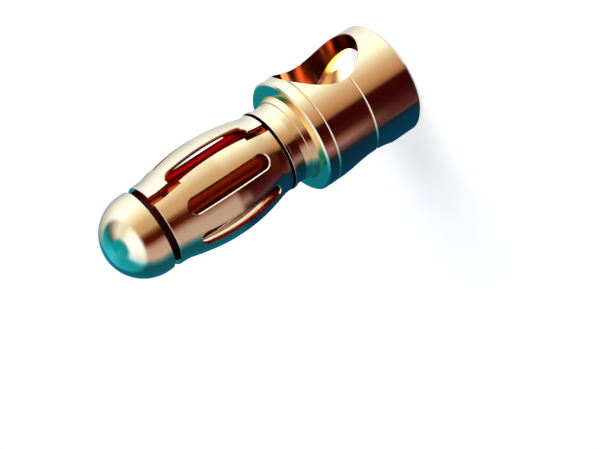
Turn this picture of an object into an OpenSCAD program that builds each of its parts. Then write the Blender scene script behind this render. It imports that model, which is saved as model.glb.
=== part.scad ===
// Gold battery lead connector: a male bullet plug for a 4 mm socket.
// One turned body carries the wire cup, neck, core and nose. One rolled
// spring cage sits on the core. Z is the axis, with the cup mouth at Z = 0.

/* [Wire cup] */
// Outside diameter of the wire cup and of its collar
cup_d = 5.5; // [5.2:0.1:7]
// Length from the mouth of the cup to the front face of the collar
cup_len = 5.45; // [5.2:0.05:8]
// Diameter of the drilled wire bore
bore_d = 4.0; // [3.2:0.1:4.2]
// Depth of the wire bore at full diameter
bore_depth = 3.3; // [2.6:0.1:3.8]
// Included angle of the drill point at the end of the wire bore
drill_angle = 118; // [90:2:140]
// Diameter of the cross drilled solder hole
cross_d = 4.0; // [2.6:0.1:4.2]
// Height of the cross hole's centre above the mouth
cross_z = 2.88; // [2.5:0.01:3.1]
// Height of the turned witness line near the middle of the cup
line_low_z = 2.63; // [1.8:0.01:3.6]
// Distance from the collar face back to the upper witness line
line_top_back = 0.63; // [0.4:0.01:1.2]
// Width of a turned witness line
line_w = 0.1; // [0.06:0.01:0.2]
// Depth of a turned witness line
line_depth = 0.05; // [0.02:0.01:0.1]
// Chamfer round the outer edge of the mouth
mouth_chamfer = 0.12; // [0.05:0.01:0.3]
// Chamfer at the start of the wire bore
bore_chamfer = 0.15; // [0.05:0.01:0.3]
// Chamfer on the front rim of the collar
collar_chamfer = 0.08; // [0.04:0.01:0.2]

/* [Neck] */
// Diameter of the neck in front of the collar
neck_d = 3.8; // [3.2:0.05:3.9]
// Length of the neck from the collar face to the shoulder lip
neck_len = 1.1; // [0.9:0.05:3]
// Length of the two turned cones between the collar face and the neck
flare_len = 0.6; // [0.3:0.05:0.8]
// Growth in radius of each cone
flare_step = 0.1; // [0.04:0.01:0.15]
// Diameter of the shoulder lip that backs the cage
lip_d = 3.95; // [3.92:0.01:4.3]
// Thickness of the shoulder lip
lip_t = 0.15; // [0.1:0.01:0.5]

/* [Spring cage] */
// Thickness of the spring sheet
sheet_t = 0.2; // [0.15:0.01:0.25]
// Outside diameter of the two ring bands
ring_d = 3.86; // [3.6:0.02:3.9]
// Outside diameter over the crests of the bowed leaves
crest_d = 4.72; // [4.3:0.02:4.8]
// Length of the cage
cage_len = 6.1; // [5.4:0.05:8]
// Length of the ring band at the shoulder
band_rear = 0.33; // [0.25:0.01:0.6]
// Length of the ring band at the nose
band_front = 0.57; // [0.3:0.01:0.9]
// Number of leaves
leaves = 8; // [6:1:9]
// Width of the slot between two leaves
slot_w = 0.72; // [0.4:0.02:0.8]
// Slope of the bow kept solid between each band and the slots
slot_margin = 0.5; // [0.3:0.05:0.8]
// Gap of the open seam where the rolled sheet meets
seam_w = 0.35; // [0.15:0.01:0.4]
// Turn of the leaves about the axis, from the cross hole
cage_turn = -25.5; // [-45:0.5:45]
// Turn of the seam from the middle of the slot it runs through
seam_turn = -9; // [-12:1:12]

/* [Core and nose] */
// Diameter of the core inside the leaves
core_d = 3.2; // [2.2:0.05:3.3]
// Diameter of the nose
nose_d = 3.84; // [3.7:0.02:3.9]
// Length of the straight part of the nose before the dome
nose_len = 0.3; // [0.2:0.05:2]
// Chamfer on the rear rim of the nose
nose_chamfer = 0.07; // [0.03:0.01:0.15]

/* [Clearances] */
// Radial clearance of the cage bands on their seats
seat_clear = 0.03; // [0.01:0.01:0.05]
// Axial gap between the shoulder lip and the cage
rear_gap = 0.12; // [0.05:0.01:0.3]
// Axial gap between the cage and the nose
front_gap = 0.27; // [0.1:0.01:0.4]

/* [Hidden] */
$fn = 128;

// Radii of the body
cup_r = cup_d / 2;
bore_r = bore_d / 2;
cross_r = cross_d / 2;
neck_r = neck_d / 2;
lip_r = lip_d / 2;
nose_r = nose_d / 2;

// Radii of the cage, and of the seats that carry its bands
ring_r = ring_d / 2;
crest_r = crest_d / 2;
seat_r = ring_r - sheet_t - seat_clear;
core_r = min(core_d / 2, seat_r - 0.04);

// Heights along the axis, from the mouth to the tip
line_top_z = cup_len - line_top_back;
flare_mid_z = cup_len + flare_len / 2;
flare_top_z = cup_len + flare_len;
lip_z = cup_len + neck_len;
cage_z = lip_z + lip_t + rear_gap;
cage_top_z = cage_z + cage_len;
nose_z = cage_top_z + front_gap;
dome_z = nose_z + nose_len;
tip_z = dome_z + nose_r;

// The bow is one arc from band to band, with its highest point midway
bow_z0 = cage_z + band_rear;
bow_z1 = cage_top_z - band_front;
bow_mid_z = (bow_z0 + bow_z1) / 2;
bow_half = (bow_z1 - bow_z0) / 2;
bow_rise = crest_r - ring_r;
bow_r = (bow_half * bow_half + bow_rise * bow_rise) / (2 * bow_rise);

// The slots lie on the bow, the same margin from both bends
slot_z0 = bow_z0 + slot_margin;
slot_z1 = bow_z1 - slot_margin;

// A seat step falls to the core at 45 degrees
seat_step = seat_r - core_r;

// Cutters run past what they cut
over = 1;

// V shaped witness line, as three points up the wall of the cup
function witness(z) = [
    [cup_r, z - line_w / 2], [cup_r - line_depth, z], [cup_r, z + line_w / 2]
];

// Half section of the turned body, apart from the dome
module body_section() {
    polygon(concat(
        [[0, 0], [cup_r - mouth_chamfer, 0], [cup_r, mouth_chamfer]],
        witness(line_low_z),
        witness(line_top_z),
        [
            // collar
            [cup_r, cup_len - collar_chamfer],
            [cup_r - collar_chamfer, cup_len],
            // two cones, with a fine ridge between them
            [neck_r + 2 * flare_step, cup_len],
            [neck_r + flare_step, flare_mid_z],
            [neck_r + flare_step - line_depth, flare_mid_z],
            [neck_r, flare_top_z],
            // neck and shoulder lip
            [neck_r, lip_z],
            [lip_r, lip_z],
            [lip_r, lip_z + lip_t],
            // rear seat, core and front seat
            [seat_r, lip_z + lip_t],
            [seat_r, bow_z0],
            [core_r, bow_z0 + seat_step],
            [core_r, bow_z1 - seat_step],
            [seat_r, bow_z1],
            [seat_r, nose_z],
            // nose
            [nose_r - nose_chamfer, nose_z],
            [nose_r, nose_z + nose_chamfer],
            [nose_r, dome_z],
            [0, dome_z]
        ]
    ));
}

// Quarter disc that turns into the domed tip
module dome_section() {
    intersection() {
        translate([0, dome_z]) circle(r = nose_r);
        translate([0, dome_z]) square([nose_r, nose_r]);
    }
}

// Wire bore with its drill point and entry chamfer
module wire_bore() {
    translate([0, 0, -over]) cylinder(r = bore_r, h = bore_depth + over);
    translate([0, 0, bore_depth])
        cylinder(r1 = bore_r, r2 = 0, h = bore_r / tan(drill_angle / 2));
    translate([0, 0, -over])
        cylinder(r1 = bore_r + bore_chamfer + over, r2 = bore_r, h = bore_chamfer + over);
}

// Solder hole through both walls, along X
module cross_hole() {
    translate([-cup_r - over, 0, cross_z])
        rotate([0, 90, 0])
            cylinder(r = cross_r, h = cup_d + 2 * over);
}

module plug_body() {
    color("goldenrod")
    difference() {
        rotate_extrude() union() {
            body_section();
            dome_section();
        }
        wire_bore();
        cross_hole();
    }
}

// Half section of the cage: two straight bands joined by a bowed strip
module cage_section() {
    translate([ring_r - sheet_t, cage_z]) square([sheet_t, band_rear]);
    translate([ring_r - sheet_t, bow_z1]) square([sheet_t, band_front]);
    intersection() {
        translate([crest_r - bow_r, bow_mid_z]) difference() {
            circle(r = bow_r);
            circle(r = bow_r - sheet_t);
        }
        translate([ring_r - sheet_t, bow_z0])
            square([bow_rise + sheet_t + over, bow_z1 - bow_z0]);
    }
}

// Outline of one slot: straight sides and full round ends
module slot_outline() {
    square([slot_z1 - slot_z0 - slot_w, slot_w], center = true);
    for (end = [-1, 1])
        translate([end * (slot_z1 - slot_z0 - slot_w) / 2, 0]) circle(d = slot_w);
}

// The slots, each cut outward from inside the core's space
module slots() {
    for (i = [0:leaves - 1])
        rotate([0, 0, cage_turn + i * 360 / leaves])
            translate([core_r / 2, 0, (slot_z0 + slot_z1) / 2])
                rotate([0, 90, 0])
                    linear_extrude(crest_r) slot_outline();
}

// Open seam of the rolled sheet: it parts both bands and meets the slot's round ends
module seam() {
    rotate([0, 0, cage_turn + seam_turn])
        for (span = [[cage_z - over, slot_z0 + slot_w / 2], [slot_z1 - slot_w / 2, cage_top_z + over]])
            translate([core_r / 2, -seam_w / 2, span[0]])
                cube([crest_r, seam_w, span[1] - span[0]]);
}

module contact_cage() {
    color("gold")
    difference() {
        rotate_extrude() cage_section();
        slots();
        seam();
    }
}

plug_body();
contact_cage();
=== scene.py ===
"""Looks of a gold plated bullet plug for a battery lead.

The plug is two pieces: a body turned from brass bar, with a drilled wire cup, a neck, a core and a
domed nose, and a spring cage rolled from thin sheet, with slots that part it into bowed leaves.
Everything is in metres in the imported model's frame: +Z runs up the axis, with the cup's mouth at Z = 0.
Meshes are built in millimetres, and are turned to metres when they are done.
"""

import logging
import math
from collections.abc import Iterable, Sequence
from dataclasses import dataclass, field
from enum import Enum
from typing import Any

import bmesh
import bpy
from mathutils import Matrix, Vector


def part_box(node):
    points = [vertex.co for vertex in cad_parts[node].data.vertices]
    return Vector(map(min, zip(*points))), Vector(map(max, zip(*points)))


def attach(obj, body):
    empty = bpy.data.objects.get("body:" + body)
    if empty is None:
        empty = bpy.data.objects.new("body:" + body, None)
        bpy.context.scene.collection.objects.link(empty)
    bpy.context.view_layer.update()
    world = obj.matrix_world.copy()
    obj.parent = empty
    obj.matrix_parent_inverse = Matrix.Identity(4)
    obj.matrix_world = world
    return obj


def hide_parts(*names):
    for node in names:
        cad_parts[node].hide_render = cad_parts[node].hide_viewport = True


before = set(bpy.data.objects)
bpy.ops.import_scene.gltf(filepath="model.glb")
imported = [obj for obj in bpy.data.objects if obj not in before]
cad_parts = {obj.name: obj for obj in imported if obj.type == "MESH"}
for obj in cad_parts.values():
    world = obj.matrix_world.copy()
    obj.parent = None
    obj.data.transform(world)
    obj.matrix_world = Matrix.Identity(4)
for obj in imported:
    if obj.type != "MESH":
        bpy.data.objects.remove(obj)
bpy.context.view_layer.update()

MM = 0.001  # metres in a millimetre
BODY = "root"
log = logging.getLogger("bullet_plug")

Point = tuple[float, float, float]
Outline = list[tuple[float, float]]


def srgb(code: str, gain: float = 1.0) -> tuple[float, float, float, float]:
    """Turns an sRGB hex colour to linear light.

    Args:
        code: the colour, such as "#F7CE8C".
        gain: what the three linear channels are multiplied by.

    Returns:
        Linear red, green, blue and an alpha of 1.
    """
    parts = [int(code[i : i + 2], 16) / 255 for i in (1, 3, 5)]
    low = [c / 12.92 if c <= 0.04045 else ((c + 0.055) / 1.055) ** 2.4 for c in parts]
    return (low[0] * gain, low[1] * gain, low[2] * gain, 1.0)


def add_node(
    tree: bpy.types.NodeTree, kind: str, inputs: dict[Any, Any] | None = None, **settings: Any
) -> bpy.types.Node:
    """Adds a node, sets it up and joins its inputs.

    Args:
        tree: the node tree that gets the node.
        kind: the node's type name.
        inputs: an input's name or number, with a plain value or the output that feeds it.
        settings: properties of the node itself.

    Returns:
        The new node.
    """
    node = tree.nodes.new(kind)
    for name, value in settings.items():
        setattr(node, name, value)
    for key, value in (inputs or {}).items():
        if isinstance(value, bpy.types.NodeSocket):
            tree.links.new(value, node.inputs[key])
        else:
            node.inputs[key].default_value = value
    return node


def link(collection_object: bpy.types.Object) -> bpy.types.Object:
    """Puts an object into the scene and returns it."""
    bpy.context.scene.collection.objects.link(collection_object)
    return collection_object


# ---------------------------------------------------------------- finishes


class Marks(Enum):
    """Which way the fine lines of a worked surface run."""

    TURNED = "rings around the part's axis"
    ROLLED = "lines along the part's axis"
    DRILLED = "rings around the cross hole's axis"


@dataclass(frozen=True)
class PlatedMetal:
    """Bright gold over nickel, on brass or bronze: a mirror with a trace of the tool under it.

    Gold this thin keeps the marks of the surface below. The finishes for the cross hole, the core, the
    grooves and the cage's inside are darker and redder: painted shade for the light that these hollows
    trap.
    """

    name: str
    colour: str
    thin_colour: str
    edge_colour: str
    roughness: float
    marks: Marks
    mark_pitch_mm: float
    mark_height_mm: float

    def material(self) -> bpy.types.Material:
        """Builds the node tree of the finish.

        Returns:
            The material, which reads only Object coordinates.
        """
        made = bpy.data.materials.new(self.name)
        made.use_nodes = True
        tree = made.node_tree
        tree.nodes.clear()
        place = add_node(tree, "ShaderNodeTexCoord")
        axes = add_node(tree, "ShaderNodeSeparateXYZ", {0: place.outputs["Object"]})
        patches = add_node(
            tree,
            "ShaderNodeTexNoise",
            {"Vector": place.outputs["Object"], "Scale": 1 / (1.6 * MM), "Detail": 3.0},
        )
        # plating is a little thicker in some places than in others, over a millimetre or two
        tint = add_node(
            tree,
            "ShaderNodeMapRange",
            {"Value": patches.outputs[0], 1: 0.35, 2: 0.75, 3: 0.0, 4: 0.35},
        )
        colour = add_node(
            tree,
            "ShaderNodeMix",
            {0: tint.outputs[0], 6: srgb(self.colour), 7: srgb(self.thin_colour)},
            data_type="RGBA",
        )
        gloss = add_node(
            tree,
            "ShaderNodeMapRange",
            {
                "Value": patches.outputs[0],
                1: 0.3,
                2: 0.7,
                3: self.roughness * 0.8,
                4: self.roughness * 1.25,
            },
        )
        lines = self._lines(tree, axes)
        relief = add_node(
            tree,
            "ShaderNodeBump",
            {"Strength": 1.0, "Distance": self.mark_height_mm * MM, "Height": lines},
        )
        shader = add_node(
            tree,
            "ShaderNodeBsdfPrincipled",
            {
                "Base Color": colour.outputs[2],
                "Metallic": 1.0,
                "Roughness": gloss.outputs[0],
                "Specular Tint": srgb(self.edge_colour),
                "Normal": relief.outputs[0],
            },
        )
        add_node(tree, "ShaderNodeOutputMaterial", {"Surface": shader.outputs[0]})
        return made

    def _lines(self, tree: bpy.types.NodeTree, axes: bpy.types.Node) -> bpy.types.NodeSocket:
        """Draws the fine lines that the tool leaves.

        Args:
            tree: the material's tree.
            axes: the node that splits the Object coordinates.

        Returns:
            The height of the lines.
        """
        x, y, z = axes.outputs
        across = (x, y) if self.marks is Marks.TURNED else (y, z)
        squares = [
            add_node(tree, "ShaderNodeMath", {0: a, 1: a}, operation="MULTIPLY") for a in across
        ]
        total = add_node(
            tree, "ShaderNodeMath", {0: squares[0].outputs[0], 1: squares[1].outputs[0]}
        )
        radius = add_node(tree, "ShaderNodeMath", {0: total.outputs[0]}, operation="SQRT")
        if self.marks is Marks.ROLLED:
            angle = add_node(tree, "ShaderNodeMath", {0: y, 1: x}, operation="ARCTAN2")
            along = add_node(
                tree, "ShaderNodeMath", {0: angle.outputs[0], 1: 2.0 * MM}, operation="MULTIPLY"
            )
            spot = {0: along.outputs[0]}
        elif self.marks is Marks.DRILLED:
            spot = {0: radius.outputs[0], 1: x}
        else:
            spot = {0: radius.outputs[0], 1: z}
        vector = add_node(tree, "ShaderNodeCombineXYZ", spot)
        # finer than the eye can part at this size, so it is drawn several times as coarse
        noise = add_node(
            tree,
            "ShaderNodeTexNoise",
            {
                "Vector": vector.outputs[0],
                "Scale": 1 / (self.mark_pitch_mm * MM),
                "Detail": 2.0,
            },
        )
        return noise.outputs[0]


TURNED_GOLD = PlatedMetal(
    # free cutting brass, turned with a sharp tool and plated bright: fine rings, mirror gloss
    name="bright_gold_on_turned_brass",
    colour="#F7CE8C",
    thin_colour="#F2BE78",
    edge_colour="#FFF4DC",
    roughness=0.1,
    marks=Marks.TURNED,
    mark_pitch_mm=0.09,
    mark_height_mm=0.0007,
)
ROLLED_GOLD = PlatedMetal(
    # spring bronze strip, rolled bright and plated: straight lines along the strip, mirror gloss
    name="bright_gold_on_rolled_bronze",
    colour="#F7CE8C",
    thin_colour="#F0BC7A",
    edge_colour="#FFF4DC",
    roughness=0.11,
    marks=Marks.ROLLED,
    mark_pitch_mm=0.1,
    mark_height_mm=0.0006,
)
BORED_GOLD = PlatedMetal(
    # the reamed wire bore, open to the bath at its mouth: bright, with the drill's fine rings
    name="bright_gold_in_bored_brass",
    colour="#F4C184",
    thin_colour="#EBAE72",
    edge_colour="#FFF0D0",
    roughness=0.16,
    marks=Marks.TURNED,
    mark_pitch_mm=0.1,
    mark_height_mm=0.0008,
)
DRILLED_GOLD = PlatedMetal(
    # the same plating in the drilled cross hole, ringed and a little duller; its colour is darker and
    # redder as painted shade for the light that the hole traps
    name="thin_gold_on_drilled_brass",
    colour="#AE5C3A",
    thin_colour="#7E2C14",
    edge_colour="#E89060",
    roughness=0.17,
    marks=Marks.DRILLED,
    mark_pitch_mm=0.12,
    mark_height_mm=0.0014,
)
SHADED_GOLD = PlatedMetal(
    # painted shade on the core behind the leaves: a dark copper red that stands in for the light the cage
    # shuts out and the gold walls redden
    name="thin_gold_behind_the_leaves",
    colour="#C23A0C",
    thin_colour="#8E2206",
    edge_colour="#D84A10",
    roughness=0.24,
    marks=Marks.TURNED,
    mark_pitch_mm=0.12,
    mark_height_mm=0.0009,
)
GROOVE_GOLD = PlatedMetal(
    # painted shade on the cage's inner face and the narrow grooves at its ends: dull and dark brown, for
    # the light that these hollows trap
    name="oily_gold_in_grooves",
    colour="#3C140A",
    thin_colour="#200804",
    edge_colour="#7A3818",
    roughness=0.4,
    marks=Marks.TURNED,
    mark_pitch_mm=0.1,
    mark_height_mm=0.0012,
)


# ---------------------------------------------------------------- mesh tools


@dataclass(frozen=True)
class Corner:
    """One corner of a turned or rolled section, in millimetres, with the radius that breaks it."""

    r: float
    z: float
    broken: float = 0.0


def broken_corners(corners: Sequence[Corner], closed: bool = False) -> Outline:
    """Rounds the corners of a section.

    A point is kept close to each end of an arc, so that the flats beside it stay flat when the
    surface is shaded.

    Args:
        corners: the section's corners in order.
        closed: whether the last corner joins the first.

    Returns:
        Points (radius, height) along the section.
    """
    hold, step = 0.02, math.radians(11)
    points: Outline = []
    count = len(corners)
    for i, corner in enumerate(corners):
        at = Vector((corner.r, corner.z))
        ends = not closed and i in (0, count - 1)
        if corner.broken <= 0 or ends:
            points.append((at.x, at.y))
            continue
        before = Vector((corners[i - 1].r, corners[i - 1].z))
        after_corner = corners[(i + 1) % count]
        after = Vector((after_corner.r, after_corner.z))
        back, ahead = before - at, after - at
        room = 0.45 * min(back.length, ahead.length)
        back.normalize()
        ahead.normalize()
        opening = math.acos(max(-1.0, min(1.0, back.dot(ahead))))
        reach = min(corner.broken / math.tan(opening / 2), room)
        radius = reach * math.tan(opening / 2)
        centre = at + (back + ahead).normalized() * (radius / math.sin(opening / 2))
        start, stop = at + back * reach, at + ahead * reach
        turn = math.pi - opening
        steps = max(2, math.ceil(turn / step))
        sweep = (start - centre).angle_signed(stop - centre)
        if reach + hold < room / 0.9:
            far = at + back * (reach + hold)
            points.append((far.x, far.y))
        for k in range(steps + 1):
            arm = (start - centre).copy()
            arm.rotate(Matrix.Rotation(-sweep * k / steps, 2))
            points.append((centre.x + arm.x, centre.y + arm.y))
        if reach + hold < room / 0.9:
            far = at + ahead * (reach + hold)
            points.append((far.x, far.y))
    return points


def new_object(name: str, points: Sequence[Point], faces: Sequence[Sequence[int]]) -> bpy.types.Object:
    """Makes an object from points in millimetres, with its faces turned outward."""
    mesh = bpy.data.meshes.new(name)
    mesh.from_pydata(list(points), [], [tuple(f) for f in faces])
    work = bmesh.new()
    work.from_mesh(mesh)
    bmesh.ops.recalc_face_normals(work, faces=work.faces)
    work.to_mesh(mesh)
    work.free()
    return link(bpy.data.objects.new(name, mesh))


def lathe(name: str, section: Outline, steps: int, closed: bool = False) -> bpy.types.Object:
    """Turns a section about the Z axis.

    Args:
        name: the object's name.
        section: points (radius, height), which start and end on the axis unless closed.
        steps: how many flats the turn has.
        closed: whether the last point joins the first, as on a tube.

    Returns:
        A closed solid in millimetres.
    """
    points: list[Point] = []
    rings: list[list[int]] = []
    for r, z in section:
        if r < 1e-9:
            rings.append([len(points)])
            points.append((0.0, 0.0, z))
            continue
        rings.append(list(range(len(points), len(points) + steps)))
        for k in range(steps):
            a = 2 * math.pi * k / steps
            points.append((r * math.cos(a), r * math.sin(a), z))
    faces: list[list[int]] = []
    pairs = list(zip(rings, rings[1:], strict=False)) + ([(rings[-1], rings[0])] if closed else [])
    for low, high in pairs:
        for k in range(steps):
            n = (k + 1) % steps
            quad = [low[k % len(low)], low[n % len(low)], high[n % len(high)], high[k % len(high)]]
            face = [v for j, v in enumerate(quad) if v not in quad[:j]]
            if len(face) > 2:
                faces.append(face)
    return new_object(name, points, faces)


def loft(name: str, rings: Sequence[Sequence[Point]]) -> bpy.types.Object:
    """Joins rings into one solid, in millimetres.

    Args:
        name: the object's name.
        rings: rings of as many points each; in each the last point mirrors the first, and so on
            inward, so that the two ends can be closed with strips across.

    Returns:
        The solid.
    """
    size = len(rings[0])
    points = [p for ring in rings for p in ring]
    faces: list[list[int]] = []
    for cap in (0, len(points) - size):
        for k in range(size // 2 - 1):
            faces.append([cap + j for j in (k, k + 1, size - 2 - k, size - 1 - k)])
    for level in range(len(rings) - 1):
        low, high = level * size, (level + 1) * size
        for k in range(size):
            n = (k + 1) % size
            faces.append([low + k, low + n, high + n, high + k])
    return new_object(name, points, faces)


def settle(piece: bpy.types.Object, sharp_deg: float = 30.0) -> bpy.types.Object:
    """Applies a piece's modifiers, turns it to metres and shades it.

    Args:
        piece: the object, in millimetres, at the origin.
        sharp_deg: edges that turn more than this stay sharp.

    Returns:
        The same object with one plain mesh.
    """
    graph = bpy.context.evaluated_depsgraph_get()
    graph.update()
    mesh = bpy.data.meshes.new_from_object(
        piece.evaluated_get(graph), preserve_all_data_layers=True, depsgraph=graph
    )
    piece.modifiers.clear()
    piece.data = mesh
    mesh.name = piece.name
    speck = 0.0002  # a fifth of a micron: what a cut leaves between two edges that nearly meet
    work = bmesh.new()
    work.from_mesh(mesh)
    bmesh.ops.remove_doubles(work, verts=work.verts, dist=speck)
    bmesh.ops.dissolve_degenerate(work, edges=work.edges, dist=speck)
    bmesh.ops.triangulate(work, faces=[f for f in work.faces if len(f.verts) > 4])
    bmesh.ops.dissolve_degenerate(work, edges=work.edges, dist=speck)
    work.to_mesh(mesh)
    work.free()
    mesh.transform(Matrix.Scale(MM, 4))
    mesh.shade_smooth()
    mesh.set_sharp_from_angle(angle=math.radians(sharp_deg))
    return piece


def drop(objects: Iterable[bpy.types.Object]) -> None:
    """Removes the tools of a cut."""
    for tool in objects:
        bpy.data.objects.remove(tool)


# ---------------------------------------------------------------- turned body


@dataclass
class PlugBody:
    """The one turned piece: wire cup, collar, neck, core and domed nose. Sizes are in millimetres."""

    cup_len: float = 5.45
    bore_d: float = 4.0
    bore_depth: float = 3.3
    drill_angle: float = 118.0
    cross_d: float = 4.0
    cross_z: float = 2.88
    line_low_z: float = 2.63
    line_top_back: float = 0.63
    line_w: float = 0.1
    line_depth: float = 0.05
    mouth_chamfer: float = 0.12
    bore_chamfer: float = 0.15
    collar_chamfer: float = 0.08
    neck_d: float = 3.8
    neck_len: float = 1.1
    flare_len: float = 0.6
    flare_step: float = 0.1
    lip_d: float = 3.95
    lip_t: float = 0.15
    core_d: float = 3.2
    nose_d: float = 3.84
    nose_chamfer: float = 0.07
    rim_break: float = 0.035
    steps: int = 256
    cup_r: float = field(init=False)
    tip_z: float = field(init=False)

    def __post_init__(self) -> None:
        """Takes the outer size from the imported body."""
        low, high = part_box("plug_body")
        self.cup_r = (high.x - low.x) / 2 / MM
        self.tip_z = high.z / MM

    def section(self, cage: "ContactCage") -> Outline:
        """Draws the half section, from the mouth's centre to the tip.

        Args:
            cage: the cage that the seats are turned for.

        Returns:
            Points (radius, height).
        """
        cup, neck, lip = self.cup_r, self.neck_d / 2, self.lip_d / 2
        core, nose = self.core_d / 2, self.nose_d / 2
        seat, dome_z = cage.seat_r, self.tip_z - self.nose_d / 2
        step, lip_z = cage.seat_r - self.core_d / 2, self.cup_len + self.neck_len
        nose_z = cage.top_z + cage.front_gap
        corners = [
            Corner(0, 0),
            Corner(cup - self.mouth_chamfer, 0, 0.03),
            Corner(cup, self.mouth_chamfer, 0.03),
            *self._witness(self.line_low_z),
            *self._witness(self.cup_len - self.line_top_back),
            Corner(cup, self.cup_len - self.collar_chamfer, 0.02),
            Corner(cup - self.collar_chamfer, self.cup_len, 0.02),
            Corner(neck + 2 * self.flare_step, self.cup_len),
            Corner(neck + self.flare_step, self.cup_len + self.flare_len / 2, 0.02),
            Corner(neck + self.flare_step - self.line_depth, self.cup_len + self.flare_len / 2),
            Corner(neck, self.cup_len + self.flare_len, 0.2),
            Corner(neck, lip_z),
            Corner(lip, lip_z, 0.02),
            Corner(lip, lip_z + self.lip_t, 0.02),
            Corner(seat, lip_z + self.lip_t),
            Corner(seat, cage.rear_z),
            Corner(seat, cage.bow_z0, 0.05),
            Corner(core, cage.bow_z0 + step, 0.1),
            Corner(core, cage.bow_z1 - step, 0.1),
            Corner(seat, cage.bow_z1, 0.05),
            Corner(seat, cage.top_z),
            Corner(seat, nose_z),
            Corner(nose - self.nose_chamfer, nose_z, 0.02),
            Corner(nose, nose_z + self.nose_chamfer, 0.02),
        ]
        section = broken_corners([*corners, Corner(nose, dome_z)])
        bends = 64
        for k in range(1, bends + 1):
            a = math.pi / 2 * k / bends
            section.append((nose * math.cos(a) if k < bends else 0.0, dome_z + nose * math.sin(a)))
        return section

    def _witness(self, z: float) -> list[Corner]:
        """Cuts a shallow V shaped line into the cup's wall at height z."""
        half = self.line_w / 2
        return [
            Corner(self.cup_r, z - half, 0.01),
            Corner(self.cup_r - self.line_depth, z),
            Corner(self.cup_r, z + half, 0.01),
        ]

    def wire_bore(self) -> bpy.types.Object:
        """Makes the drill that opens the cup, with its entry chamfer and its point."""
        bore, over = self.bore_d / 2, 1.0
        section = [
            (0.0, -over),
            (bore + self.bore_chamfer + over, -over),
            (bore, self.bore_chamfer),
            (bore, self.bore_depth),
            (0.0, self.bore_depth + bore / math.tan(math.radians(self.drill_angle / 2))),
        ]
        return lathe("wire_bore_tool", section, self.steps)

    def solder_hole(self) -> bpy.types.Object:
        """Makes the cross drill, which flares where it leaves the wall, so that both rims are broken."""
        hole, over, wall = self.cross_d / 2, 0.6, self.cup_r

        def ring(radius: float, side: int, lift: float, at_radius: float) -> list[Point]:
            """Draws one ring that follows the round wall, lifted along the hole by lift."""
            made = []
            for k in range(self.steps):
                a = 2 * math.pi * (k + 0.5) / self.steps
                skin = math.sqrt(wall**2 - (at_radius * math.cos(a)) ** 2)
                made.append(
                    (side * (skin + lift), radius * math.cos(a), self.cross_z + radius * math.sin(a))
                )
            return made

        edge = hole + self.rim_break
        rings = [
            ring(edge + over, -1, over, edge),
            ring(hole, -1, -self.rim_break, hole),
            ring(hole, 1, -self.rim_break, hole),
            ring(edge + over, 1, over, edge),
        ]
        return loft("solder_hole_tool", rings)

    def build(self, cage: "ContactCage") -> bpy.types.Object:
        """Turns the body, drills it and gives each surface its finish.

        Args:
            cage: the cage that the seats are turned for.

        Returns:
            The finished body.
        """
        body = lathe("turned_body", self.section(cage), self.steps)
        body.data.materials.append(TURNED_GOLD.material())
        tools = [self.wire_bore(), self.solder_hole()]
        # the cross hole's wall takes the drilled finish, whose darker colour is painted shade
        for tool, finish in zip(tools, (BORED_GOLD, DRILLED_GOLD), strict=True):
            tool.data.materials.append(finish.material())
            cut = body.modifiers.new(tool.name, "BOOLEAN")
            cut.operation, cut.solver, cut.object = "DIFFERENCE", "EXACT", tool
            cut.material_mode = "TRANSFER"
        settle(body)
        drop(tools)
        self._shade_seats(body, cage)
        return body

    def _shade_seats(self, body: bpy.types.Object, cage: "ContactCage") -> None:
        """Gives the core and the two end grooves darker finishes as painted shade, and paints shade and a
        highlight on the cross hole's wall.
        """
        core, groove = len(body.data.materials), len(body.data.materials) + 1
        body.data.materials.append(SHADED_GOLD.material())
        body.data.materials.append(GROOVE_GOLD.material())
        low, high = self.cup_len + self.neck_len + self.lip_t, cage.top_z + cage.front_gap
        drilled = body.data.materials.find(DRILLED_GOLD.name)
        bored = body.data.materials.find(BORED_GOLD.name)
        painted_shade_z = self.cross_z + 0.5 * self.cross_d / 2
        painted_highlight_z = self.cross_z + 0.9 * self.cross_d / 2
        for face in body.data.polygons:
            x, y, z = face.center / MM
            # the cross hole's wall next to the collar gets the dark groove finish as painted shade, and
            # its top next to the rim the bright bored finish as a painted highlight
            if face.material_index == drilled and z > painted_shade_z:
                face.material_index = bored if z > painted_highlight_z else groove
            # painted shade: the core between the bands takes the dark core finish, and the grooves at the
            # open ends the dark groove finish
            if low - 0.001 <= z <= high + 0.001 and math.hypot(x, y) < self.lip_d / 2 - 0.03:
                open_end = z < cage.rear_z or z > cage.top_z
                face.material_index = groove if open_end else core


# ---------------------------------------------------------------- spring cage


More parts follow.
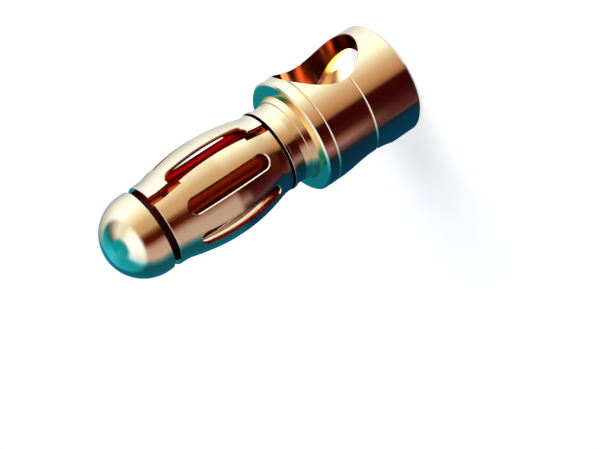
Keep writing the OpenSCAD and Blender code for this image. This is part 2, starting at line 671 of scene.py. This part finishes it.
@dataclass
class ContactCage:
    """The rolled sheet: two ring bands joined by bowed leaves. Sizes are in millimetres."""

    sheet_t: float = 0.2
    ring_d: float = 3.86
    band_rear: float = 0.33
    band_front: float = 0.57
    leaves: int = 8
    slot_w: float = 0.72
    slot_margin: float = 0.5
    seam_w: float = 0.35
    cage_turn: float = -25.5
    seam_turn: float = -9.0
    seat_clear: float = 0.03
    front_gap: float = 0.27
    edge_break: float = 0.05
    steps: int = 256
    crest_r: float = field(init=False)
    rear_z: float = field(init=False)
    top_z: float = field(init=False)

    def __post_init__(self) -> None:
        """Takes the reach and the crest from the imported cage."""
        low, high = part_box("contact_cage")
        self.rear_z, self.top_z = low.z / MM, high.z / MM
        self.crest_r = max(high.x, high.y, -low.x, -low.y) / MM

    @property
    def seat_r(self) -> float:
        """Radius of the body's seats under the bands."""
        return self.ring_d / 2 - self.sheet_t - self.seat_clear

    @property
    def bow_z0(self) -> float:
        """Height at which the bow starts."""
        return self.rear_z + self.band_rear

    @property
    def bow_z1(self) -> float:
        """Height at which the bow ends."""
        return self.top_z - self.band_front

    @property
    def bow_r(self) -> float:
        """Radius of the bow's outer arc."""
        half, rise = (self.bow_z1 - self.bow_z0) / 2, self.crest_r - self.ring_d / 2
        return (half * half + rise * rise) / (2 * rise)

    @property
    def slot_ends(self) -> tuple[float, float]:
        """Heights of the two ends of each slot."""
        return self.bow_z0 + self.slot_margin, self.bow_z1 - self.slot_margin

    def skin(self, z: float, depth: float = 0.0) -> float:
        """Gives the radius of the sheet's outer face at height z, or of a face depth below it.

        The bow runs into the bands through soft bends, as pressed sheet does.
        """
        middle, soft = (self.bow_z0 + self.bow_z1) / 2, 0.07
        ring, arc = self.ring_d / 2 - depth, self.bow_r - depth
        rise = self.crest_r - self.bow_r + math.sqrt(arc**2 - (z - middle) ** 2) - ring
        return ring + (rise + math.hypot(rise, soft)) / 2

    def section(self) -> Outline:
        """Draws the closed section of the sheet: up the outside and down the inside."""
        rows, rear, top = 84, self.rear_z + 0.08, self.top_z - 0.1
        heights = [rear + (top - rear) * k / rows for k in range(rows + 1)]
        ends = ((self.rear_z, 0.04), (self.top_z, 0.05))
        outside = [Corner(self.skin(z), z) for z in heights]
        inside = [Corner(self.skin(z, self.sheet_t), z) for z in reversed(heights)]
        low, high = (
            [Corner(self.skin(z, depth), z, broken) for depth in (0.0, self.sheet_t)]
            for z, broken in ends
        )
        return broken_corners([low[0], *outside, *high, *inside, low[1]], closed=True)

    def punch(self, name: str, side: Sequence[tuple[float, float, float, float]]) -> bpy.types.Object:
        """Makes a punch for the sheet that also breaks both edges of what it cuts.

        Args:
            name: the tool's name.
            side: one side of the cut, around X: (across, height) of each point and the way
                (across, height) from there into the sheet. The other side is its mirror.

        Returns:
            The tool, in millimetres.
        """
        over, edge = 0.12, self.edge_break
        outline = [*side, *((-a, z, -fa, fz) for a, z, fa, fz in reversed(side))]

        def ring(spread: float, depth: float, lift: float) -> list[Point]:
            """Draws the outline spread by spread, on the face depth below the skin, lifted by lift."""
            made = []
            for a, z, fa, fz in outline:
                near = min(spread, edge)
                face = math.sqrt(self.skin(z + fz * near, depth) ** 2 - (a + fa * near) ** 2)
                made.append((face + lift, a + fa * spread, z + fz * spread))
            return made

        rings = [
            ring(edge + over, self.sheet_t, -over),
            ring(0.0, self.sheet_t, edge),
            ring(0.0, 0.0, -edge),
            ring(edge + over, 0.0, over),
        ]
        return loft(name, rings)

    def slot_tool(self) -> bpy.types.Object:
        """Makes the punch for one slot: straight sides and full round ends."""
        half, (low, high) = self.slot_w / 2, self.slot_ends
        bends, rows = 12, 36
        side = []
        for k in range(bends):
            a = math.pi / 2 * (1 - (k + 0.5) / bends)
            side.append((half * math.cos(a), high - half + half * math.sin(a), math.cos(a), math.sin(a)))
        for k in range(rows + 1):
            z = high - half - (high - low - 2 * half) * k / rows
            side.append((half, z, 1.0, 0.0))
        for k in range(bends):
            a = -math.pi / 2 * (k + 0.5) / bends
            side.append((half * math.cos(a), low + half + half * math.sin(a), math.cos(a), math.sin(a)))
        return self.punch("slot_tool", side)

    def seam_tool(self, name: str, low: float, high: float) -> bpy.types.Object:
        """Makes the tool for one part of the open seam, from height low to height high."""
        rows = 14
        side = [
            (self.seam_w / 2, low + (high - low) * k / rows, 1.0, 0.0) for k in range(rows + 1)
        ]
        tool = self.punch(name, side)
        tool.data.transform(Matrix.Rotation(math.radians(self.cage_turn + self.seam_turn), 4, "Z"))
        return tool

    def leaf_tree(self) -> bpy.types.NodeTree:
        """Builds the tree that punches one slot after another around the axis.

        Returns:
            A Geometry Nodes group with named inputs for its tools and sizes.
        """
        tree = bpy.data.node_groups.new("punched_cage", "GeometryNodeTree")
        face = tree.interface
        face.new_socket("Geometry", in_out="INPUT", socket_type="NodeSocketGeometry")
        face.new_socket("Slot tool", in_out="INPUT", socket_type="NodeSocketObject")
        face.new_socket("Rear seam tool", in_out="INPUT", socket_type="NodeSocketObject")
        face.new_socket("Front seam tool", in_out="INPUT", socket_type="NodeSocketObject")
        face.new_socket("Leaves", in_out="INPUT", socket_type="NodeSocketInt")
        face.new_socket("Turn", in_out="INPUT", socket_type="NodeSocketFloat")
        face.new_socket("Finish", in_out="INPUT", socket_type="NodeSocketMaterial")
        face.new_socket("Geometry", in_out="OUTPUT", socket_type="NodeSocketGeometry")
        given = add_node(tree, "NodeGroupInput").outputs
        tools = {
            name: add_node(tree, "GeometryNodeObjectInfo", {"Object": given[name]}).outputs["Geometry"]
            for name in ("Slot tool", "Rear seam tool", "Front seam tool")
        }
        spots = add_node(tree, "GeometryNodePoints", {"Count": given["Leaves"]})
        pitch = add_node(
            tree, "ShaderNodeMath", {0: math.tau, 1: given["Leaves"]}, operation="DIVIDE"
        )
        angle = add_node(
            tree,
            "ShaderNodeMath",
            {
                0: add_node(tree, "GeometryNodeInputIndex").outputs[0],
                1: pitch.outputs[0],
                2: given["Turn"],
            },
            operation="MULTIPLY_ADD",
        )
        turned = add_node(tree, "ShaderNodeCombineXYZ", {2: angle.outputs[0]})
        spread = add_node(
            tree,
            "GeometryNodeInstanceOnPoints",
            {
                "Points": spots.outputs[0],
                "Instance": tools["Slot tool"],
                "Rotation": turned.outputs[0],
            },
        )
        punches = add_node(tree, "GeometryNodeRealizeInstances", {0: spread.outputs[0]})
        cut = given["Geometry"]
        for tool in (punches.outputs[0], tools["Rear seam tool"], tools["Front seam tool"]):
            step = add_node(
                tree,
                "GeometryNodeMeshBoolean",
                {"Mesh 1": cut, "Mesh 2": tool},
                operation="DIFFERENCE",
                solver="EXACT",
            )
            cut = step.outputs[0]
        whole = add_node(tree, "GeometryNodeRealizeInstances", {0: cut})
        dressed = add_node(
            tree, "GeometryNodeSetMaterial", {0: whole.outputs[0], "Material": given["Finish"]}
        )
        add_node(tree, "NodeGroupOutput", {0: dressed.outputs[0]})
        return tree

    def build(self) -> bpy.types.Object:
        """Rolls the tube, punches its slots and seam, and plates it.

        Returns:
            The finished cage.
        """
        cage = lathe("spring_cage", self.section(), self.steps, closed=True)
        half, (low, high) = self.slot_w / 2, self.slot_ends
        tools = {
            "Slot tool": self.slot_tool(),
            "Rear seam tool": self.seam_tool("rear_seam_tool", self.rear_z - 0.3, low + half),
            "Front seam tool": self.seam_tool("front_seam_tool", high - half, self.top_z + 0.3),
        }
        tree = self.leaf_tree()
        maker = cage.modifiers.new("punch", "NODES")
        maker.node_group = tree
        values = {
            **tools,
            "Leaves": self.leaves,
            "Turn": math.radians(self.cage_turn),
            "Finish": ROLLED_GOLD.material(),
        }
        for item in tree.interface.items_tree:
            if item.in_out == "INPUT" and item.name in values:
                maker[item.identifier] = values[item.name]
        settle(cage)
        # painted shade: the cage's inner faces take the dark groove finish, for the light the cage shuts
        # in
        cage.data.materials.append(GROOVE_GOLD.material())
        for face in cage.data.polygons:
            x, y, _ = face.center / MM
            if face.normal.x * x + face.normal.y * y < -0.6 * math.hypot(x, y):
                face.material_index = 1
        drop(tools.values())
        bpy.data.node_groups.remove(tree)
        return cage


# ---------------------------------------------------------------- studio


class Level(Enum):
    """The heights of the light tent at which its colours are set, as degrees above the horizon."""

    BELOW = -70
    SKIRT = -32
    HEM = -21
    WALL = 4
    ROOF = 50
    TOP = 82


@dataclass(frozen=True)
class LightTent:
    """A round tent of coloured panels that only mirrors see, so that the gold has a room to show.

    Each panel is given as the colour that the plating shows where it mirrors it, so the panel's own
    light is that colour divided by the plating's. Angles are degrees around the axis from +X.
    """

    radius: float = 0.4
    start: float = 117.0

    def panels(self, level: Level) -> list[tuple[float, str, float]]:
        """Lists the panels at one level.

        Args:
            level: the level.

        Returns:
            (degrees, colour seen in the plating, gain), in order around from the start.
        """
        if level is Level.BELOW:
            return [
                (117, "#5A6E70", 1.0),
                (200, "#12262E", 1.0),
                (216, "#4A1510", 1.0),
                (284, "#54200F", 1.0),
                (302, "#B98C5C", 1.0),
                (345, "#E8D4A0", 1.0),
                (400, "#F4ECD4", 1.0),
                (466, "#C4D0D0", 1.0),
            ]
        if level in (Level.SKIRT, Level.HEM):
            hem = [
                (205, "#0A2A38", 1.0),
                (215, "#1C2628", 1.0),
                (222, "#6A443C", 1.0),
                (233, "#A0705F", 1.0),
                (243, "#7E4638", 1.0),
                (251, "#4A1410", 1.0),
            ]
            skirt = [
                (200, "#08324A", 1.0),
                (212, "#1A1E20", 1.0),
                (216, "#5E3A34", 1.0),
                (222, "#54241E", 1.0),
                (236, "#43130E", 1.0),
                (252, "#380906", 1.0),
            ]
            return [
                (117, "#082E3E", 1.0),
                (150, "#073A50", 1.0),
                *(hem if level is Level.HEM else skirt),
                (266, "#380604", 1.0),
                (283, "#3C0704", 1.0),
                (289, "#A06A40", 1.0),
                (298, "#C08650", 1.0),
                (316, "#D5AA76", 1.0),
                (334, "#F0DDB0", 1.0),
                (346, "#FFF6D0", 1.1),
                (374, "#FFFAE0", 1.2),
                (415, "#F4EEDA", 1.0),
                (430, "#DCDACA", 1.0),
                (445, "#D4CEB4", 1.0),
                (460, "#CCC498", 1.0),
                (474, "#D6D2A0", 1.0),
            ]
        if level is Level.WALL:
            return [
                (117, "#0E7078", 1.0),
                (150, "#0D5C64", 1.0),
                (195, "#144E58", 1.0),
                (206, "#3C7876", 1.0),
                (213, "#8C8474", 1.0),
                (220, "#C4A383", 1.0),
                (248, "#BC9A82", 1.0),
                (259, "#9A6448", 1.0),
                (267, "#5A0F02", 1.0),
                (281, "#471202", 1.0),
                (290, "#84502A", 1.0),
                (298, "#C09460", 1.0),
                (322, "#D4AA74", 1.0),
                (342, "#F2DEAA", 1.0),
                (372, "#FFFBE0", 1.2),
                (412, "#F4EFDE", 1.0),
                (432, "#D0CAB4", 1.0),
                (446, "#B8B494", 1.0),
                (456, "#8CA48C", 1.0),
                (466, "#1C8C94", 1.0),
                (474, "#117880", 1.0),
            ]
        if level is Level.ROOF:
            return [
                (117, "#38C0C8", 1.0),
                (145, "#1E9CA2", 1.0),
                (186, "#189490", 1.0),
                (200, "#4CB0B0", 1.0),
                (211, "#BBE0E3", 1.0),
                (226, "#F0E8DC", 1.0),
                (262, "#FBFBEA", 1.1),
                (300, "#FFFCE4", 1.15),
                (326, "#FFF4D0", 1.0),
                (342, "#EAD8B4", 1.0),
                (368, "#F0E2C2", 1.0),
                (388, "#C8B094", 1.0),
                (404, "#7A7462", 1.0),
                (418, "#1C6058", 1.0),
                (440, "#0F9898", 1.0),
                (465, "#2CB8C4", 1.0),
            ]
        return [
            (117, "#2CA8A8", 1.0),
            (200, "#1C9694", 1.0),
            (300, "#14908C", 1.0),
            (400, "#129490", 1.0),
        ]

    def build(self) -> bpy.types.Object:
        """Pitches the tent around the part.

        Returns:
            The tent, which lights nothing and shows only in mirrors.
        """
        mesh = bpy.data.meshes.new("light_tent")
        work = bmesh.new()
        bmesh.ops.create_uvsphere(work, u_segments=96, v_segments=48, radius=self.radius)
        bmesh.ops.reverse_faces(work, faces=work.faces)
        work.to_mesh(mesh)
        work.free()
        tent = link(bpy.data.objects.new("light_tent", mesh))
        mesh.materials.append(self._material())
        tent.visible_camera = tent.visible_diffuse = tent.visible_shadow = False
        tent.visible_transmission = tent.visible_volume_scatter = False
        return tent

    def _material(self) -> bpy.types.Material:
        """Paints the panels by angle and height, as plain light."""
        made = bpy.data.materials.new("tent_cloth")
        made.use_nodes = True
        tree = made.node_tree
        tree.nodes.clear()
        place = add_node(tree, "ShaderNodeTexCoord")
        way = add_node(
            tree, "ShaderNodeVectorMath", {0: place.outputs["Object"]}, operation="NORMALIZE"
        )
        x, y, z = add_node(tree, "ShaderNodeSeparateXYZ", {0: way.outputs[0]}).outputs
        angle = add_node(tree, "ShaderNodeMath", {0: y, 1: x}, operation="ARCTAN2")
        share = add_node(
            tree,
            "ShaderNodeMath",
            {0: angle.outputs[0], 1: 1 / math.tau, 2: 2 - self.start / 360},
            operation="MULTIPLY_ADD",
        )
        around = add_node(tree, "ShaderNodeMath", {0: share.outputs[0]}, operation="FRACT")
        height = add_node(tree, "ShaderNodeMath", {0: z}, operation="ARCSINE")
        edges = {
            Level.SKIRT: (-48.0, -38.0),
            Level.HEM: (-25.8, -23.8),
            Level.WALL: (-18.5, -16.5),
            Level.ROOF: (26.0, 38.0),
            Level.TOP: (62.0, 74.0),
        }
        painted = self._ramp(tree, Level.BELOW, around.outputs[0])
        for level, (low, high) in edges.items():
            reached = add_node(
                tree,
                "ShaderNodeMapRange",
                {"Value": height.outputs[0], 1: math.radians(low), 2: math.radians(high)},
                interpolation_type="SMOOTHSTEP",
            )
            mixed = add_node(
                tree,
                "ShaderNodeMix",
                {
                    0: reached.outputs[0],
                    6: painted,
                    7: self._ramp(tree, level, around.outputs[0]),
                },
                data_type="RGBA",
            )
            painted = mixed.outputs[2]
        glow = add_node(tree, "ShaderNodeEmission", {"Color": painted, "Strength": 1.0})
        add_node(tree, "ShaderNodeOutputMaterial", {"Surface": glow.outputs[0]})
        return made

    def _ramp(
        self, tree: bpy.types.NodeTree, level: Level, around: bpy.types.NodeSocket
    ) -> bpy.types.NodeSocket:
        """Lays one level's panels out as a ramp and returns its colour."""
        plating = srgb(TURNED_GOLD.colour)
        node = add_node(tree, "ShaderNodeValToRGB", {0: around})
        stops = node.color_ramp.elements
        for k, (degrees, code, gain) in enumerate(self.panels(level)):
            spot = ((degrees - self.start) % 360) / 360
            stop = stops[k] if k < 1 else stops.new(spot)
            stop.position = spot
            seen = srgb(code, gain)
            stop.color = (seen[0] / plating[0], seen[1] / plating[1], seen[2] / plating[2], 1.0)
        stops.remove(stops[-1])
        return node.outputs[0]


@dataclass(frozen=True)
class Studio:
    """A pale floor, soft lamps and the tent. Nothing here is part of the plug."""

    floor_size: float = 0.6
    floor_colour: str = "#F4F4F4"

    def build(self) -> list[bpy.types.Object]:
        """Sets the studio up.

        Returns:
            The objects that are stage, not part.
        """
        stage = [self._floor(), self._mouth_glow(), LightTent().build()]
        self._lamp("key", azimuth=10, height=60, softness_deg=34, power=1.1)
        self._lamp("fill", azimuth=250, height=48, softness_deg=80, power=0.7)
        self._world()
        return stage

    def _plain(self, name: str, code: str, lift: float) -> bpy.types.Material:
        """Makes a matt card that camera, mirror and glass see lifted by a little light of its own."""
        made = bpy.data.materials.new(name)
        made.use_nodes = True
        tree = made.node_tree
        tree.nodes.clear()
        path = add_node(tree, "ShaderNodeLightPath")
        seen = add_node(
            tree,
            "ShaderNodeMath",
            {0: path.outputs["Is Camera Ray"], 1: path.outputs["Is Glossy Ray"]},
        )
        seen = add_node(
            tree, "ShaderNodeMath", {0: seen.outputs[0], 1: path.outputs["Is Transmission Ray"]}
        )
        level = add_node(
            tree, "ShaderNodeMath", {0: seen.outputs[0], 1: lift}, operation="MULTIPLY"
        )
        card = add_node(
            tree, "ShaderNodeBsdfPrincipled", {"Base Color": srgb(code), "Roughness": 0.9}
        )
        glow = add_node(
            tree, "ShaderNodeEmission", {"Color": (1, 1, 1, 1), "Strength": level.outputs[0]}
        )
        both = add_node(tree, "ShaderNodeAddShader", {0: card.outputs[0], 1: glow.outputs[0]})
        add_node(tree, "ShaderNodeOutputMaterial", {"Surface": both.outputs[0]})
        return made

    def _disc(self, name: str, radius: float, z: float, sides: int) -> bpy.types.Object:
        """Makes a flat disc that faces up."""
        mesh = bpy.data.meshes.new(name)
        work = bmesh.new()
        bmesh.ops.create_circle(work, cap_ends=True, segments=sides, radius=radius)
        bmesh.ops.translate(work, verts=work.verts, vec=(0, 0, z))
        work.to_mesh(mesh)
        work.free()
        return link(bpy.data.objects.new(name, mesh))

    def _floor(self) -> bpy.types.Object:
        """Lays the floor. The gold mirrors the tent through it."""
        floor = self._disc("floor", self.floor_size, -0.00001, 96)
        floor.data.materials.append(self._plain("matt_white_card", self.floor_colour, 0.6))
        floor.visible_glossy = False
        return floor

    def _mouth_glow(self) -> bpy.types.Object:
        """Lays a lit disc under the cup, so that the bore sees a bright floor through its mouth."""
        disc = self._disc("floor_under_cup", 0.0016, -0.000005, 64)
        disc.data.transform(Matrix.Translation((-0.0003, 0.0015, 0.0)))
        disc.data.materials.append(self._plain("lit_card", "#FFFFFF", 5.0))
        disc.visible_camera = False
        return disc

    def _lamp(
        self, name: str, azimuth: float, height: float, softness_deg: float, power: float
    ) -> None:
        """Hangs a wide soft lamp far away; the tent stands in for it in mirrors."""
        data = bpy.data.lights.new(name, "SUN")
        data.angle, data.energy = math.radians(softness_deg), power
        lamp = link(bpy.data.objects.new(name, data))
        a, h = math.radians(azimuth), math.radians(height)
        way = Vector((math.cos(h) * math.cos(a), math.cos(h) * math.sin(a), math.sin(h)))
        lamp.rotation_euler = way.to_track_quat("Z", "Y").to_euler()
        lamp.visible_glossy = False

    def _world(self) -> None:
        """Sets a plain world that camera, mirror and glass see white, and that lights nothing."""
        world = bpy.data.worlds.new("plain_white")
        bpy.context.scene.world = world
        world.use_nodes = True
        tree = world.node_tree
        tree.nodes.clear()
        path = add_node(tree, "ShaderNodeLightPath")
        seen = add_node(
            tree,
            "ShaderNodeMath",
            {0: path.outputs["Is Camera Ray"], 1: path.outputs["Is Glossy Ray"]},
        )
        seen = add_node(
            tree, "ShaderNodeMath", {0: seen.outputs[0], 1: path.outputs["Is Transmission Ray"]}
        )
        back = add_node(
            tree, "ShaderNodeBackground", {"Color": (1, 1, 1, 1), "Strength": seen.outputs[0]}
        )
        add_node(tree, "ShaderNodeOutputWorld", {"Surface": back.outputs[0]})


@dataclass(frozen=True)
class Viewpoint:
    """The camera: where it stands in millimetres, where it looks, and how it leans."""

    at: Point = (23.457, -49.4, 27.9)
    toward: Point = (-3.017, -1.671, 7.406)
    lean_deg: float = 124.575
    lens: float = 79.2
    sensor: float = 36.0

    def build(self) -> bpy.types.Object:
        """Sets the camera up and makes it the scene's own."""
        data = bpy.data.cameras.new("camera")
        data.sensor_fit, data.sensor_width, data.lens = "HORIZONTAL", self.sensor, self.lens
        data.clip_start, data.clip_end = 0.002, 5.0
        camera = link(bpy.data.objects.new("camera", data))
        look = Vector(self.toward) - Vector(self.at)
        level = look.to_track_quat("-Z", "Y").to_matrix().to_4x4()
        lean = Matrix.Rotation(-math.radians(self.lean_deg), 4, "Z")
        camera.matrix_world = Matrix.Translation(Vector(self.at) * MM) @ level @ lean
        bpy.context.scene.camera = camera
        return camera


def present(piece: bpy.types.Object, node: str) -> None:
    """Hands a finished piece to the frame.

    Args:
        piece: the finished object.
        node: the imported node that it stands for.
    """
    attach(piece, BODY)
    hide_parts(node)
    log.info("%s stands for %s: %d faces", piece.name, node, len(piece.data.polygons))


def main() -> None:
    """Builds the plug and its studio, and reports each piece."""
    logging.basicConfig(level=logging.INFO, format="%(name)s: %(message)s")
    bpy.context.scene.view_settings.view_transform = "Standard"
    Viewpoint().build()
    cage = ContactCage()
    present(PlugBody().build(cage), "plug_body")
    present(cage.build(), "contact_cage")
    for prop in Studio().build():
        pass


if __name__ == "__main__":
    main()
